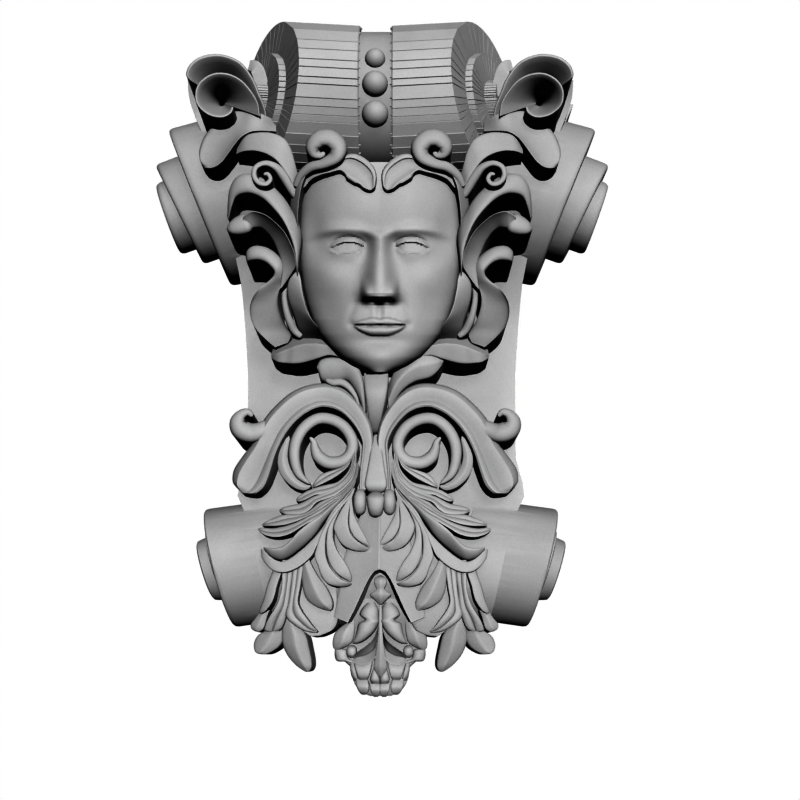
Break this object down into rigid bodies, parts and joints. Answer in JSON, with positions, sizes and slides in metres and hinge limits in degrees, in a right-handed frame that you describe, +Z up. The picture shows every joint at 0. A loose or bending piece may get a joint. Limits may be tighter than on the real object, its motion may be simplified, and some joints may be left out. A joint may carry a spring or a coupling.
{
  "type": "carved bracket",
  "caption": "Carved stone scroll bracket: beaded top roll, crowned mask with scrolling locks, C-scrolls, acanthus fans and a hanging palmette; flat back for a wall.",
  "frame": {"origin": "on the flat back that meets the wall, on the vertical centre plane, at about mid height", "axes": "+Z up, +Y into the wall, -Y is the carved front, +X to the right as it is looked at"},
  "size_m": [0.2464, 0.1416, 0.3409],
  "materials": {
    "stone": "honed, fine grained"
  },
  "bodies": {
    "root": {"bracket": "stone"}
  },
  "joints": []
}
